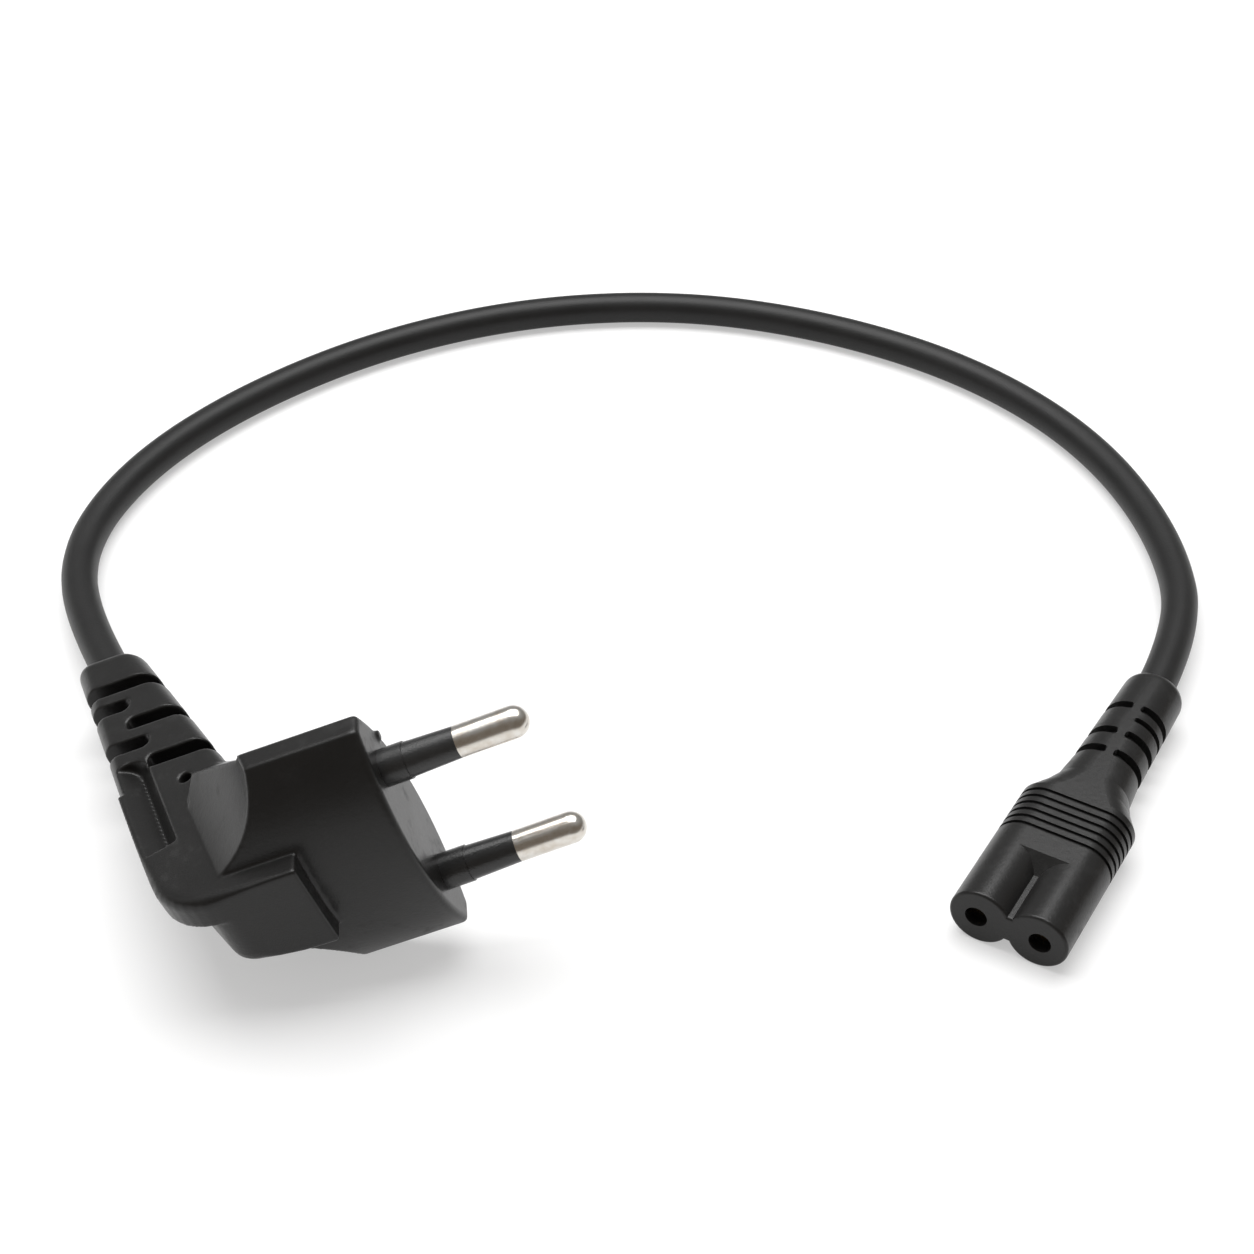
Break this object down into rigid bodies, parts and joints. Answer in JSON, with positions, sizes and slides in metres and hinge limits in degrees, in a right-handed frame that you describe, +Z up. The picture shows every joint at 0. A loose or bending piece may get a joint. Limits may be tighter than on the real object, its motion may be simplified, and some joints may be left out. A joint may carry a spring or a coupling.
{
  "type": "power cord",
  "caption": "Short mains cord with an angled slim plug for round-hole sockets at one end and a figure-of-eight appliance connector at the other, lying in a loop.",
  "frame": {"origin": "on the surface that the cord lies on, under the centre of the plug's bounding box, pins included", "axes": "+Z up from the surface; +X level, close to the way the plug's pins point, which is 6.5 degrees round from it; +Y level, towards the far side of the cord's loop"},
  "size_m": [0.1734, 0.1673, 0.0377],
  "materials": {
    "moulded_pvc": "satin",
    "cord_pvc": "satin",
    "hard_plastic": "satin",
    "nickel_plate": "satin",
    "brass": "satin",
    "copper": "satin",
    "brown_insulation": "matte",
    "blue_insulation": "matte"
  },
  "bodies": {
    "root": {"plug_overmould": "moulded_pvc", "plug_pin_bridge": "hard_plastic", "live_pin": "nickel_plate", "neutral_pin": "nickel_plate", "live_pin_sleeve": "hard_plastic", "neutral_pin_sleeve": "hard_plastic", "cord_jacket": "cord_pvc", "live_core_insulation": "brown_insulation", "neutral_core_insulation": "blue_insulation", "live_conductor": "copper", "neutral_conductor": "copper", "connector_overmould": "moulded_pvc", "connector_insert": "hard_plastic", "live_contact": "brass", "neutral_contact": "brass"}
  },
  "joints": []
}
